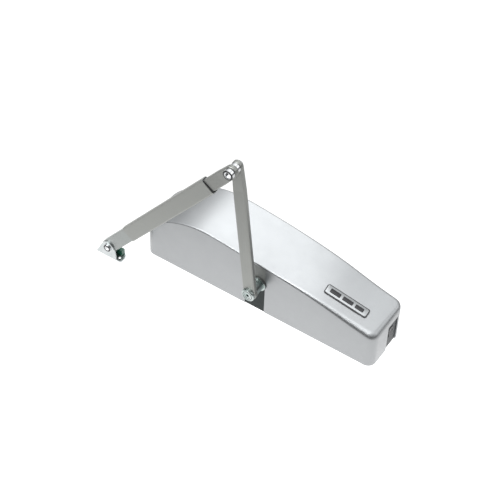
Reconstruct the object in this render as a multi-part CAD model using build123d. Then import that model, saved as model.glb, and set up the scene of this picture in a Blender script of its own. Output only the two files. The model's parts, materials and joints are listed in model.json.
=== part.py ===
from build123d import *
import math
import os

os.makedirs("parts", exist_ok=True)

# ---------------------------------------------------------------- driving dimensions (mm)
# Frame: origin at the centre of the wall face, +X along the case towards the switch panel,
# -Y the side with the arm, +Z away from the wall.
CASE_L = 530.0            # along X
CASE_W = 110.0            # along Y
WALL_T = 2.5              # cover sheet
CORNER_R = 17.0           # upright corners of the cover
EDGE_R = 4.0              # rounding of the cover's upper edge
# depth from the wall along the front long side, and what the rear long side adds to it
CREST_X = [-290, -265, -225, -190, -140, -70, 0, 70, 140, 200, 265, 290]
CREST_FRONT = [82.0, 93.0, 110.0, 126.0, 138.5, 135.0, 127.5, 119.5, 109.0, 96.0, 84.0, 80.0]
CREST_REAR_ADDS = [-16.0, -8.0, 5.0, 13.0, 18.0, 21.0, 20.0, 17.0, 12.0, 7.5, 4.0, 2.0]

PLATE_T = 3.0             # base plate
PLATE_GAP = 0.5           # base plate to the cover's inside
FIX_X, FIX_Y, FIX_R = 470.0, 70.0, 4.5      # wall fixing holes
CABLE_X, CABLE_Y, CABLE_R, GROMMET_R = -222.0, 10.0, 9.0, 12.0    # cable entry

SLOT_X0, SLOT_X1, SLOT_DROP = -25.0, 20.0, 4.2   # arm slots end this far under the crest
SWITCH_Y0, SWITCH_Y1, SWITCH_TOP = 0.0, 36.0, 66.0
TALL = 160.0              # above the case everywhere
OPEN_X, OPEN_Y, OPEN_T = 255.0, 40.0, 20.0       # inner faces of the openings' cutters, and their depth

# raised plate, slot inserts, end panels and the rocker
MARK_X, MARK_Y, MARK_TURN = 180.0, -17.5, 3.0
MARK_L, MARK_W, MARK_R, MARK_RISE = 90.0, 20.0, 4.0, 2.0
INSERT_Y0, INSERT_Y1, INSERT_GAP, INSERT_BORE_R = 51.0, 54.0, 0.3, 11.5
PANEL_X0, PANEL_X1, PANEL_R = 259.5, 262.5, 1.5
PANEL_BACK = PANEL_X0 - 0.1
WINDOW_Y0, WINDOW_Y1, WINDOW_Z0, WINDOW_Z1 = 8.0, 22.0, 28.0, 54.0
ROCKER_X, ROCKER_Z, PIP_R, PIP_GAP = 256.5, 41.0, 1.4, 0.05
BRACKET_T, CATCH_T, CATCH_W, CATCH_FOOT = 1.5, 1.2, 20.0, 14.0

# shafts, all along Y
SPINDLE_X, SPINDLE_Z, SPINDLE_R = 6.0, 77.0, 7.0
OUT_TEETH, PIN_TEETH, OUT_MOD = 48, 18, 1.5
INT_TEETH, MOT_TEETH, INT_MOD = 60, 18, 1.0
INTER_X = SPINDLE_X - (OUT_TEETH + PIN_TEETH) * OUT_MOD / 2
MOTOR_X = INTER_X - (INT_TEETH + MOT_TEETH) * INT_MOD / 2
RACK_TEETH, RACK_MOD = 24, 1.5
AXLE_R, ROTOR_R = 4.0, 3.0
RUN = 0.05                # running clearance on a radius
STUB_Y0, STUB_Y1, STUB_R = 46.8, 55.0, 6.0   # spare spindle end
BEARING_R, NOSE_BEARING_R, BELL_BEARING_R = 15.0, 9.0, 8.0

# Y layers
LID_Y0, LID_Y1 = -50.0, -44.0
STAGE2_Y0, STAGE2_Y1 = -42.0, -31.0
STAGE1_Y0, STAGE1_Y1 = -29.0, -21.0
BACK_Y0, BACK_Y1 = -18.0, -12.0
RACK_Y0, RACK_Y1 = 6.0, 20.0
REAR_Y0, REAR_Y1 = 34.0, 46.0
SPINDLE_BEARINGS = ((LID_Y0, LID_Y1), (BACK_Y0, BACK_Y1), (REAR_Y0 + 1, REAR_Y1 - 1))
CAN_Y1, BELL_Y1 = 36.0, 42.0                 # motor can, then its end bell

# motor and small screws
CAN_R, CAN_BORE_R, CORE_R, CORE_Y0, CORE_Y1 = 30.0, 27.5, 20.0, -2.0, 26.0
BELL_SCREWS_AT, BELL_VENTS_AT, SLOTS_AT = 25.0, 18.0, 15.5
SCREW_R, SCREW_HEAD_R, SCREW_HEAD_T = 1.6, 3.0, 2.2

# arm
ELBOW_X, ELBOW_Z = -31.0, 393.5
FOOT_X, FOOT_Z = -319.3, 25.8
ARM_W, ARM_Y0, ARM_Y1, ARM_EDGE = 26.5, -90.0, -80.0, 2.4
ARM_EYE_R, ARM_TAPER_AT, ARM_LOBE_R = 14.8, 262.0, 11.0
HUB_R, FLANGE_R, FLANGE_Y0, FLANGE_Y1 = 13.0, 16.5, -60.0, -57.0
CAP_R, CAP_Y0 = 14.0, -95.3                  # clamp cap on the arm's eye
CLAMP_R, CLAMP_HEAD_R, CLAMP_Y0, CLAMP_SEAT_Y, CLAMP_Y1 = 4.0, 6.5, -94.6, -85.0, -63.0
CLAMP_HEX, ELBOW_HEX, FOOT_HEX = 6.0, 10.0, 6.0      # across the flats of the sockets
ELBOW_R, ELBOW_HEAD_R, ELBOW_HEAD_Y0, ELBOW_HEAD_Y1 = 5.0, 10.5, -117.0, -108.3
ELBOW_NUT_R, ELBOW_NUT_Y1, ELBOW_PIN_Y1 = 7.0, -76.4, -78.0
BAR_W, BAR_Y0, BAR_Y1, BAR_END = 28.0, -108.0, -98.0, 300.0
BAR_LOBE_R, BAR_TAPER_AT, BAR_EDGE = 12.8, 34.0, 2.4
TUBE_W, TUBE_Y0, TUBE_Y1, TUBE_EDGE = 34.6, -110.5, -95.5, 4.0
TUBE_START, TUBE_END, TUBE_SLANT, TUBE_GAP = 77.0, 384.0, -6.0, 0.2
TUBE_SCREWS_AT, TUBE_SCREW_R, TUBE_SCREW_HEAD_R = (130.0, 165.0), 2.5, 4.5
FIT_W, FIT_T, FIT_PLUG = 31.0, 13.0, 44.0    # end fitting: width, thickness, length in the tube

# foot
PIN_R, PIN_HEAD_R, PIN_HEAD_Y0 = 4.0, 8.8, -116.0
FOOT_X0, FOOT_X1, FOOT_Y0, FOOT_Y1, FOOT_T = -347.5, -287.5, -112.6, -85.0, 3.0
CHEEK_X1, CHEEK_T, CHEEK_R = -298.0, 2.8, 14.8      # front plate around the foot pin
LUG_T, LUG_R = 5.0, 12.0                            # rear lug
FOOT_HOLE_X, FOOT_HOLE_Y, FOOT_HOLES, FOOT_HOLE_R = -318.5, -104.5, 45.0, 2.75
FOOT_FOLD, STOP_GAP = 20.0, 0.8              # fold at which the stop is reached, and its clearance
STOP_X0, STOP_X1, STOP_Y0, STOP_Y1, STOP_TOP = -309.0, -293.5, -99.5, -90.5, 19.0
FORE_L = math.hypot(FOOT_X - ELBOW_X, FOOT_Z - ELBOW_Z)
MAIN_L = math.hypot(ELBOW_X - SPINDLE_X, ELBOW_Z - SPINDLE_Z)


# ---------------------------------------------------------------- helpers
def block(x0, x1, y0, y1, z0, z1):
    return Pos((x0 + x1) / 2, (y0 + y1) / 2, (z0 + z1) / 2) * Box(x1 - x0, y1 - y0, z1 - z0)


def rod_y(x, z, y0, y1, r):
    return Pos(x, (y0 + y1) / 2, z) * Rot(90, 0, 0) * Cylinder(r, y1 - y0)


def rod_x(y, z, x0, x1, r):
    return Pos((x0 + x1) / 2, y, z) * Rot(0, 90, 0) * Cylinder(r, x1 - x0)


def rod_z(x, y, z0, z1, r):
    return Pos(x, y, (z0 + z1) / 2) * Cylinder(r, z1 - z0)


def prism_y(sketch, y0, y1):
    """A flat outline drawn in X and Z, given depth from y0 to y1."""
    face = Plane(origin=(0, y1, 0), x_dir=(1, 0, 0), z_dir=(0, -1, 0)) * sketch
    return extrude(face, amount=y1 - y0)


def hex_y(x, z, y0, y1, flats):
    outline = Pos(x, z) * RegularPolygon(flats / math.sqrt(3), 6)
    return prism_y(outline, y0, y1)


def join(shapes):
    """Separate solids kept as one group."""
    return Compound(children=list(shapes))


def save(shape, name):
    shape.label = name
    export_step(shape, "parts/" + name + ".step")


def bar_place(x, z, x_to, z_to):
    """Local +X runs from the first point to the second, local +Z stays in the XZ plane."""
    angle = math.degrees(math.atan2(z_to - z, x_to - x))
    return Pos(x, 0, z) * Rot(0, -angle, 0)


# ---------------------------------------------------------------- case
def crest_solid(drop, half_w):
    """The case under its bowed, leaning top: ruled between the two long sides."""
    rings = []
    for y in (-half_w, half_w):
        lean = (y + CASE_W / 2) / CASE_W
        pts = []
        for x, front, adds in zip(CREST_X, CREST_FRONT, CREST_REAR_ADDS):
            pts.append((x, y, front + adds * lean - drop))
        top = Spline(*pts)
        x_lo, x_hi = pts[0][0], pts[-1][0]
        z_lo = -5.0 if drop > 0 else 0.0
        rest = Polyline((x_hi, y, pts[-1][2]), (x_hi, y, z_lo), (x_lo, y, z_lo), (x_lo, y, pts[0][2]))
        rings.append(Wire([top] + list(rest.edges())))
    return Solid.make_loft(rings, ruled=True)


def case_solid(inset):
    half_l, half_w = CASE_L / 2 - inset, CASE_W / 2 - inset
    prism = extrude(RectangleRounded(2 * half_l, 2 * half_w, CORNER_R - inset), amount=TALL)
    if inset > 0:
        prism = Pos(0, 0, -1) * prism
    solid = prism & crest_solid(inset, half_w + 4)
    rim = [e for e in solid.edges() if e.center().Z > SWITCH_TOP and abs(e.tangent_at(0.5).Z) < 0.9]
    return solid, rim


def rounded_case(inset):
    solid, rim = case_solid(inset)
    try:
        return fillet(rim, EDGE_R - inset)
    except Exception as err:
        print("rim fillet failed", inset, err)
        return solid


def make_cover():
    shell = rounded_case(0) - rounded_case(WALL_T)
    under_crest = crest_solid(SLOT_DROP, CASE_W)
    for near in (-OPEN_Y - OPEN_T, OPEN_Y):
        shell -= block(SLOT_X0, SLOT_X1, near, near + OPEN_T, -1, TALL) & under_crest
    for near in (-OPEN_X - OPEN_T, OPEN_X):
        shell -= block(near, near + OPEN_T, SWITCH_Y0, SWITCH_Y1, -1, SWITCH_TOP)
    return shell


def make_name_plate():
    """A plain raised plate on the cover's crest near the switch end."""
    outline = Pos(MARK_X, MARK_Y) * Rot(0, 0, MARK_TURN) * RectangleRounded(MARK_L, MARK_W, MARK_R)
    column = extrude(outline, amount=TALL)
    return column & (crest_solid(-MARK_RISE, CASE_W) - crest_solid(-0.05, CASE_W))


def make_base_plate():
    half_l, half_w = CASE_L / 2 - WALL_T - PLATE_GAP, CASE_W / 2 - WALL_T - PLATE_GAP
    corner = CORNER_R - WALL_T - PLATE_GAP
    plate = extrude(RectangleRounded(2 * half_l, 2 * half_w, corner), amount=PLATE_T)
    for sx in (-1, 1):
        for sy in (-1, 1):
            plate -= rod_z(sx * FIX_X / 2, sy * FIX_Y / 2, -1, 5, FIX_R)
    plate -= rod_z(CABLE_X, CABLE_Y, -1, 5, GROMMET_R)
    # room for the end panels and the slot inserts, which reach down to the wall
    panel_in, insert_in = PANEL_X0 - 1.5, INSERT_Y0 - 2
    for near in (-panel_in - 12, panel_in):
        plate -= block(near, near + 12, SWITCH_Y0 - 1, SWITCH_Y1 + 1, -1, 5)
    for near in (-insert_in - 11, insert_in):
        plate -= block(SLOT_X0 - 1, SLOT_X1 + 1, near, near + 11, -1, 5)
    return plate


def make_slot_insert(side, upper):
    """Half of the split plate that fills an arm slot around the spindle."""
    y0, y1 = (-INSERT_Y1, -INSERT_Y0) if side < 0 else (INSERT_Y0, INSERT_Y1)
    z0, z1 = (SPINDLE_Z + 0.1, TALL) if upper else (0.4, SPINDLE_Z - 0.1)
    plate = block(SLOT_X0 + INSERT_GAP, SLOT_X1 - INSERT_GAP, y0, y1, z0, z1)
    plate &= crest_solid(SLOT_DROP + INSERT_GAP, CASE_W)
    return plate - rod_y(SPINDLE_X, SPINDLE_Z, y0 - 1, y1 + 1, INSERT_BORE_R)


def make_end_panel(side, with_window):
    """Inset panel at a case end; the switch end has the rocker's window."""
    x0, x1 = (PANEL_X0, PANEL_X1) if side > 0 else (-PANEL_X1, -PANEL_X0)
    panel = block(x0, x1, SWITCH_Y0 + INSERT_GAP, SWITCH_Y1 - INSERT_GAP, 0.4, SWITCH_TOP - INSERT_GAP)
    panel = fillet(panel.edges().filter_by(Axis.X), PANEL_R)
    if with_window:
        panel -= block(x0 - 1, x1 + 1, WINDOW_Y0, WINDOW_Y1, WINDOW_Z0, WINDOW_Z1)
    return panel


def make_panel_bracket(side):
    """Sheet feet that carry an end panel off the base plate, beside the rocker at the switch end."""
    feet = []
    for y0, y1 in ((24.0, 34.0), (1.5, 6.5))[:2 if side > 0 else 1]:
        knee = PLATE_T + BRACKET_T
        up = block(PANEL_BACK - BRACKET_T, PANEL_BACK, y0, y1, knee, 60.0)
        foot = up + block(PANEL_BACK - 18, PANEL_BACK, y0, y1, PLATE_T, knee)
        feet.append(foot if side > 0 else mirror(foot, about=Plane.YZ))
    return feet


def make_rocker_housing():
    back = 240.0
    body = block(back, PANEL_BACK, WINDOW_Y0 - 1, WINDOW_Y1 + 1, WINDOW_Z0 - 1.5, WINDOW_Z1 + 1.5)
    body -= block(back + 10, 260.0, WINDOW_Y0 + 0.5, WINDOW_Y1 - 0.5, WINDOW_Z0 + 0.5, WINDOW_Z1 - 0.5)
    # pivot pips carry the rocker
    pips = [rod_y(ROCKER_X, ROCKER_Z, y, y + 1.6, PIP_R) for y in (8.0, 20.4)]
    tags = [block(back - 6, back, 11.0, 12.0, z, z + 4.0) for z in (31.0, 39.0, 47.0)]
    for piece in pips + tags:
        body += piece
    return body


def make_rocker():
    """Three-position rocker: two flats meeting at a shallow crest."""
    outline = Polyline((259.2, 29.8), (263.4, 30.4), (262.2, 41.0), (263.4, 51.6), (259.2, 52.2),
                       (254.4, 44.0), (253.8, 41.0), (254.4, 38.0), close=True)
    body = prism_y(make_face(outline.edges()), 9.2, 20.8)
    for y in (8.0, 20.3):
        body -= rod_y(ROCKER_X, ROCKER_Z, y, y + 1.7, PIP_R + PIP_GAP)
    return body


def make_rocker_marks():
    """Two pale dots that show the rocker's end positions."""
    return join([rod_x(26.5, z, 262.5, 262.9, 1.6) for z in (34.0, 48.0)])


def make_catches():
    """Sprung sheet catches the cover snaps over, two on each long side."""
    y_skin = CASE_W / 2 - WALL_T - PLATE_GAP
    parts = []
    for x in (-180.0, 82.0):
        x0, x1 = x - CATCH_W / 2, x + CATCH_W / 2
        catch = block(x0, x1, y_skin - CATCH_T, y_skin, PLATE_T, 26)
        catch += block(x0, x1, y_skin - CATCH_FOOT, y_skin, PLATE_T, PLATE_T + CATCH_T)
        parts += [mirror(catch, about=Plane.XZ), catch]
    return join(parts)


# ---------------------------------------------------------------- gears
def involute_gear(x, z, teeth, module, y0, y1, bore, phase=0.0, backlash=0.16):
    """Spur gear along Y with true involute flanks; phase turns tooth 0 away from +X, in degrees."""
    pressure = math.radians(20)
    r_pitch = teeth * module / 2
    r_base = r_pitch * math.cos(pressure)
    r_tip = r_pitch + 0.95 * module
    r_root = r_pitch - 1.2 * module
    half = (math.pi * module / 2 - backlash) / 2 / r_pitch
    inv_p = math.tan(pressure) - pressure
    r_start = max(r_base, r_root + 0.01)
    flank = []
    for i in range(6):
        r = r_start + (r_tip - r_start) * i / 5
        a = math.acos(min(1.0, r_base / r))
        flank.append((r, half + inv_p - (math.tan(a) - a)))
    pts = []
    for t in range(teeth):
        mid = math.radians(phase) + 2 * math.pi * t / teeth
        low = [(r_root, -flank[0][1])] if r_start > r_root + 0.05 else []
        for r, a in low + [(r, -a) for r, a in flank] + [(r, a) for r, a in reversed(flank)]:
            pts.append((x + r * math.cos(mid + a), z + r * math.sin(mid + a)))
        if low:
            a = flank[0][1]
            pts.append((x + r_root * math.cos(mid + a), z + r_root * math.sin(mid + a)))
    outline = make_face(Polyline(*pts, close=True).edges())
    return prism_y(outline, y0, y1) - rod_y(x, z, y0 - 1, y1 + 1, bore)


def make_output_gear():
    gear = involute_gear(SPINDLE_X, SPINDLE_Z, OUT_TEETH, OUT_MOD, STAGE2_Y0, STAGE2_Y1, SPINDLE_R,
                         phase=180.0)
    ring = rod_y(SPINDLE_X, SPINDLE_Z, STAGE2_Y0 - 1, STAGE2_Y0 + 2.5, 30)
    ring -= rod_y(SPINDLE_X, SPINDLE_Z, STAGE2_Y0 - 2, STAGE2_Y0 + 3, 13)
    gear -= ring
    for k in range(6):
        a = math.radians(60 * k + 30)
        gear -= rod_y(SPINDLE_X + 21.5 * math.cos(a), SPINDLE_Z + 21.5 * math.sin(a),
                      STAGE2_Y0 - 1, STAGE2_Y1 + 1, 5.5)
    return gear


def make_intermediate():
    big = involute_gear(INTER_X, SPINDLE_Z, INT_TEETH, INT_MOD, STAGE1_Y0, STAGE1_Y1, AXLE_R + RUN,
                        phase=180.0)
    small = involute_gear(INTER_X, SPINDLE_Z, PIN_TEETH, OUT_MOD, STAGE2_Y0, STAGE1_Y0, AXLE_R + RUN,
                          phase=180.0 / PIN_TEETH)
    return big + small


def make_rotor_pinion():
    return involute_gear(MOTOR_X, SPINDLE_Z, MOT_TEETH, INT_MOD, STAGE1_Y0 - 1, STAGE1_Y1 + 1, ROTOR_R,
                         phase=180.0 / MOT_TEETH)


# ---------------------------------------------------------------- gearbox
def gearbox_outline(shrink):
    spots = ((SPINDLE_X, 43.0), (INTER_X, 36.5), (MOTOR_X, 18.0))
    circles = [Pos(x, SPINDLE_Z) * Circle(r - shrink) for x, r in spots]
    with BuildSketch() as sk:
        for c in circles:
            add(c)
        make_hull()
    return sk.sketch


LID_SCREWS = [(SPINDLE_X + 39.5 * math.cos(math.radians(a)), SPINDLE_Z + 39.5 * math.sin(math.radians(a)))
              for a in (-72, 0, 72)]
LID_SCREWS += [(MOTOR_X - 14.5, SPINDLE_Z), (-66.0, SPINDLE_Z + 23.0), (-66.0, SPINDLE_Z - 23.0)]


def make_gearbox_body():
    tub = prism_y(gearbox_outline(0), LID_Y1, BACK_Y1)
    foot = block(-66, 44, LID_Y1, BACK_Y1, PLATE_T, 60)
    foot -= block(-56, -30, LID_Y1 - 1, BACK_Y1 - 3, PLATE_T + 6, 34)
    foot -= block(-22, 34, LID_Y1 - 1, BACK_Y1 - 3, PLATE_T + 6, 28)
    tub += foot
    tub -= prism_y(gearbox_outline(4.0), LID_Y1 - 1, BACK_Y0)
    for x, z in LID_SCREWS:
        boss = rod_y(x, z, LID_Y1, BACK_Y0, 4.2) & prism_y(gearbox_outline(0), LID_Y1, BACK_Y1)
        far_out = math.hypot(x - SPINDLE_X, z - SPINDLE_Z) > 38.5
        far_mid = math.hypot(x - INTER_X, z - SPINDLE_Z) > 32.5
        if far_out and far_mid:
            boss -= rod_y(SPINDLE_X, SPINDLE_Z, LID_Y1 - 1, BACK_Y0, 38.3)
            boss -= rod_y(INTER_X, SPINDLE_Z, LID_Y1 - 1, BACK_Y0, 31.6)
            tub += boss
        tub -= rod_y(x, z, LID_Y1 - 1, LID_Y1 + 14, SCREW_R)
    tub -= rod_y(SPINDLE_X, SPINDLE_Z, BACK_Y0 - 1, BACK_Y1 + 1, BEARING_R)
    tub -= rod_y(MOTOR_X, SPINDLE_Z, BACK_Y0 - 1, BACK_Y1 + 1, NOSE_BEARING_R)
    tub -= rod_y(INTER_X, SPINDLE_Z, BACK_Y0 - 1, BACK_Y1 - 1.5, AXLE_R)
    return tub


def make_gearbox_lid():
    lid = prism_y(gearbox_outline(0), LID_Y0, LID_Y1)
    lid -= rod_y(SPINDLE_X, SPINDLE_Z, LID_Y0 - 1, LID_Y1 + 1, BEARING_R)
    lid -= rod_y(INTER_X, SPINDLE_Z, LID_Y0 + 2, LID_Y1 + 1, AXLE_R)
    for x, z in LID_SCREWS:
        lid -= rod_y(x, z, LID_Y0 - 1, LID_Y1 + 1, SCREW_R)
        lid -= rod_y(x, z, LID_Y0 - 1, LID_Y0 + SCREW_HEAD_T, SCREW_HEAD_R + 0.2)
    return lid


def make_lid_screws():
    screws = []
    for x, z in LID_SCREWS:
        seat = LID_Y0 + SCREW_HEAD_T
        s = rod_y(x, z, LID_Y0, seat, SCREW_HEAD_R) + rod_y(x, z, seat, LID_Y1 + 10, SCREW_R)
        screws.append(s - hex_y(x, z, LID_Y0 - 0.5, LID_Y0 + 1.2, 2.5))
    return screws


def make_bearing(y0, y1, x, r_bore, r_out):
    """A ball bearing drawn as two races with a shield between them."""
    ring = rod_y(x, SPINDLE_Z, y0, y1, r_out) - rod_y(x, SPINDLE_Z, y0 - 1, y1 + 1, r_bore)
    mid0, mid1 = r_bore + (r_out - r_bore) * 0.35, r_bore + (r_out - r_bore) * 0.65
    for a, b in ((y0 - 1, y0 + 0.6), (y1 - 0.6, y1 + 1)):
        groove = rod_y(x, SPINDLE_Z, a, b, mid1) - rod_y(x, SPINDLE_Z, a - 1, b + 1, mid0)
        ring -= groove
    return ring


def make_rear_support():
    """Pedestal for the spindle's rear bearing."""
    head_r = BEARING_R + 4
    x0, x1 = SPINDLE_X - head_r, SPINDLE_X + head_r
    body = block(x0, x1, REAR_Y0, REAR_Y1, PLATE_T, SPINDLE_Z)
    body += rod_y(SPINDLE_X, SPINDLE_Z, REAR_Y0, REAR_Y1, head_r)
    body += block(x0 - 10, x1 + 4, REAR_Y0 - 10, REAR_Y1, PLATE_T, PLATE_T + 6)
    body -= block(x0 + 6, x1 - 6, REAR_Y0 - 1, REAR_Y1 + 1, PLATE_T + 10, SPINDLE_Z - 22)
    body -= rod_y(SPINDLE_X, SPINDLE_Z, REAR_Y0 - 1, REAR_Y1 + 1, BEARING_R)
    return body


# ---------------------------------------------------------------- motor
def make_motor_can():
    can = rod_y(MOTOR_X, SPINDLE_Z, BACK_Y1, CAN_Y1, CAN_R)
    can -= rod_y(MOTOR_X, SPINDLE_Z, BACK_Y1 + 3, CAN_Y1 + 1, CAN_BORE_R)
    return can - rod_y(MOTOR_X, SPINDLE_Z, BACK_Y1 - 1, BACK_Y1 + 4, NOSE_BEARING_R)


def make_motor_magnets():
    y0, y1 = CORE_Y0 - 4, CORE_Y1 + 4
    ring = rod_y(MOTOR_X, SPINDLE_Z, y0, y1, CAN_BORE_R)
    ring -= rod_y(MOTOR_X, SPINDLE_Z, y0 - 1, y1 + 1, CORE_R + 1)
    for a in (0, 90):
        ring -= Pos(MOTOR_X, 12, SPINDLE_Z) * Rot(0, a, 0) * Box(80, 40, 5)
    return join(ring.solids())


def bell_spots(radius):
    """Four places around the motor's axis."""
    turns = [math.radians(45 + 90 * k) for k in range(4)]
    return [(MOTOR_X + radius * math.cos(a), SPINDLE_Z + radius * math.sin(a)) for a in turns]


def make_motor_bell():
    bell = rod_y(MOTOR_X, SPINDLE_Z, CAN_Y1, BELL_Y1, CAN_R)
    bell -= rod_y(MOTOR_X, SPINDLE_Z, CAN_Y1 - 1, BELL_Y1 + 1, BELL_BEARING_R)
    for at, radius in ((BELL_SCREWS_AT, SCREW_R), (BELL_VENTS_AT, 3.0)):
        for x, z in bell_spots(at):
            bell -= rod_y(x, z, CAN_Y1 - 1, BELL_Y1 + 1, radius)
    return bell


def make_motor_screws():
    screws = []
    for x, z in bell_spots(BELL_SCREWS_AT):
        s = rod_y(x, z, CAN_Y1, BELL_Y1, SCREW_R) + rod_y(x, z, BELL_Y1, BELL_Y1 + 2, 2.8)
        screws.append(s - hex_y(x, z, BELL_Y1 + 1, BELL_Y1 + 2.5, 2.2))
    return screws


def make_motor_core():
    """Rotor stack with winding slots."""
    y0, y1 = CORE_Y0 - 1, CORE_Y1 + 1
    core = rod_y(MOTOR_X, SPINDLE_Z, CORE_Y0, CORE_Y1, CORE_R) - rod_y(MOTOR_X, SPINDLE_Z, y0, y1, ROTOR_R)
    slot = rod_y(SLOTS_AT, 0, y0, y1, 2.2) + block(SLOTS_AT + 1, SLOTS_AT + 6, y0, y1, -0.7, 0.7)
    for k in range(12):
        core -= Pos(MOTOR_X, 0, SPINDLE_Z) * Rot(0, -30 * k, 0) * slot
    return core


def make_encoder_cap():
    cap = rod_y(MOTOR_X, SPINDLE_Z, BELL_Y1, BELL_Y1 + 8, 16.0)
    cap -= rod_y(MOTOR_X, SPINDLE_Z, BELL_Y1 - 1, BELL_Y1 + 6.5, 14.5)
    return cap - block(MOTOR_X - 20, MOTOR_X - 10, BELL_Y1 + 0.5, BELL_Y1 + 4, SPINDLE_Z - 4, SPINDLE_Z + 4)


def make_motor_cradle():
    body = block(MOTOR_X - 24, MOTOR_X + 20, 4.0, 24.0, PLATE_T, 60)
    body -= rod_y(MOTOR_X, SPINDLE_Z, 3.0, 25.0, CAN_R)
    return body - block(MOTOR_X - 15, MOTOR_X + 12, 3.0, 25.0, 9, 36)


# ---------------------------------------------------------------- closing spring
SPRING_X, SPRING_Y, SPRING_BASE, SPRING_TOP = 56.0, 13.0, 12.0, 62.0
SPRING_R, WIRE_R, SPRING_TURNS, GUIDE_R, RING_R = 15.0, 2.4, 5.5, 6.0, 18.5
RING_Z0, HEAD_T = 7.0, 8.0                   # preload ring's seat, and the rack's crosshead
RACK_PITCH_X = SPINDLE_X + RACK_TEETH * RACK_MOD / 2


def make_rack():
    """Rack beside the spindle; its crosshead bears on the closing spring."""
    pitch = math.pi * RACK_MOD
    x_tip = RACK_PITCH_X - 0.95 * RACK_MOD
    x_root = RACK_PITCH_X + 1.25 * RACK_MOD
    thin = (pitch / 2 - 0.16) / 2
    lean = math.tan(math.radians(20))
    pts = [(x_root + 5, 46.0), (x_root, 46.0)]
    for k in range(-6, 7):
        mid = SPINDLE_Z + pitch * k
        dx_tip, dx_root = RACK_PITCH_X - x_tip, x_root - RACK_PITCH_X
        pts += [(x_root, mid - thin - dx_root * lean), (x_tip, mid - thin + dx_tip * lean),
                (x_tip, mid + thin - dx_tip * lean), (x_root, mid + thin + dx_root * lean)]
    pts += [(x_root, 108.0), (x_root + 5, 108.0)]
    rack = prism_y(make_face(Polyline(*pts, close=True).edges()), RACK_Y0, RACK_Y1)
    head = rod_z(SPRING_X, SPRING_Y, SPRING_TOP, SPRING_TOP + HEAD_T, 18.0)
    head -= block(x_root - 20, x_root + 0.01, -20, 40, SPRING_TOP - 1, SPRING_TOP + HEAD_T + 1)
    head += block(x_root + 4.9, SPRING_X + 12, RACK_Y0, RACK_Y1, SPRING_TOP, SPRING_TOP + HEAD_T)
    rack += head
    return rack - rod_z(SPRING_X, SPRING_Y, 40, 100, GUIDE_R + RUN)


def make_spring():
    height = SPRING_TOP - SPRING_BASE - 2 * WIRE_R - 0.4
    path = Helix(pitch=height / SPRING_TURNS, height=height, radius=SPRING_R,
                 center=(SPRING_X, SPRING_Y, SPRING_BASE + WIRE_R + 0.2))
    profile = Plane(origin=path @ 0, z_dir=path % 0) * Circle(WIRE_R)
    return sweep(profile, path=path)


def make_spring_guide():
    post = rod_z(SPRING_X, SPRING_Y, PLATE_T, 101.0, GUIDE_R)
    return post + rod_z(SPRING_X, SPRING_Y, PLATE_T, RING_Z0, RING_R + 1.5)


def make_preload_ring():
    ring = rod_z(SPRING_X, SPRING_Y, RING_Z0, SPRING_BASE, RING_R) - rod_z(SPRING_X, SPRING_Y, 6, 20, GUIDE_R)
    for k in range(6):
        a = math.radians(60 * k)
        ring -= rod_z(SPRING_X + RING_R * math.cos(a), SPRING_Y + RING_R * math.sin(a), 5.5, 13.5, 2.0)
    return ring


# ---------------------------------------------------------------- electrics
def make_transformer_core():
    core = block(-196, -138, -20, 26, 8, 68)
    for z in (20, 44):
        core -= block(-184, -150, -21, 27, z, z + 12)
    return core


def make_transformer_coil():
    coil = block(-190, -144, -36, 42, 20.5, 55.5)
    coil -= block(-184, -150, -20, 26, 31.9, 44.1)
    keep = block(-183.8, -150.2, -36, 42, 20.5, 31.5) + block(-183.8, -150.2, -36, 42, 44.5, 55.5)
    ends = [block(-183.8, -150.2, y, y + 14, 20.5, 55.5) for y in (-35, 27)]
    body = keep
    for e in ends:
        body += e
    return body - block(-184, -150, -20.5, 26.5, 31.4, 44.6)


def make_transformer_feet():
    feet = []
    for x in (-202.0, -150.0):
        foot = block(x, x + 18, -28, 34, PLATE_T, 8)
        for y in (-24, 30):
            foot -= rod_z(x + 9, y, 2, 9, 2.2)
        feet.append(foot)
    return join(feet)


BOARD_Z, BOARD_TOP = 16.0, 17.6
BOARD = (94.0, 232.0, -46.0, 44.0, BOARD_Z, BOARD_TOP)
STAND_OFFS = [(x, y) for x in (100.0, 226.0) for y in (-40.0, 38.0)]


def make_board():
    board = block(*BOARD)
    for x, y in STAND_OFFS:
        board -= rod_z(x, y, 15, 19, 1.8)
    return board


def make_stand_offs():
    posts = []
    for x, y in STAND_OFFS:
        post = rod_z(x, y, PLATE_T, BOARD_Z, 4.0) + rod_z(x, y, BOARD_Z, BOARD_TOP, 1.8)
        posts.append(post + rod_z(x, y, BOARD_TOP, 20.0, 3.2))
    return join(posts)


def make_capacitors():
    spots = ((112.0, 20.0, 9.0, 36.0), (133.0, 20.0, 9.0, 36.0), (112.0, -4.0, 6.5, 24.0))
    return [rod_z(x, y, BOARD_TOP, BOARD_TOP + h, r) for x, y, r, h in spots]


def make_relays():
    return [block(x, x + 19, 22, 34, BOARD_TOP, 33.0) for x in (152.0, 176.0, 200.0)]


def make_chips():
    spots = ((150, 172, -8, 10), (180, 194, -6, 6), (200, 210, -4, 8), (128, 140, -8, 2))
    return [block(x0, x1, y0, y1, BOARD_TOP, 20.4) for x0, x1, y0, y1 in spots]


def make_heat_sink():
    sink = block(100, 122, -36, -14, BOARD_TOP, 22)
    for k in range(5):
        sink += block(100, 122, -36 + 5 * k, -34 + 5 * k, 22, 46)
    return sink


def make_terminals():
    blocks = []
    for x in (130.0, 161.0, 192.0):
        b = block(x, x + 27, -43, -31, BOARD_TOP, 29.0)
        for k in range(5):
            b -= block(x + 1.6 + 5 * k, x + 5.2 + 5 * k, -43.5, -38, 19.5, 24.0)
            b -= rod_z(x + 3.4 + 5 * k, -34.6, 26.5, 30, 1.7)
        blocks.append(b)
    return join(blocks)


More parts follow.
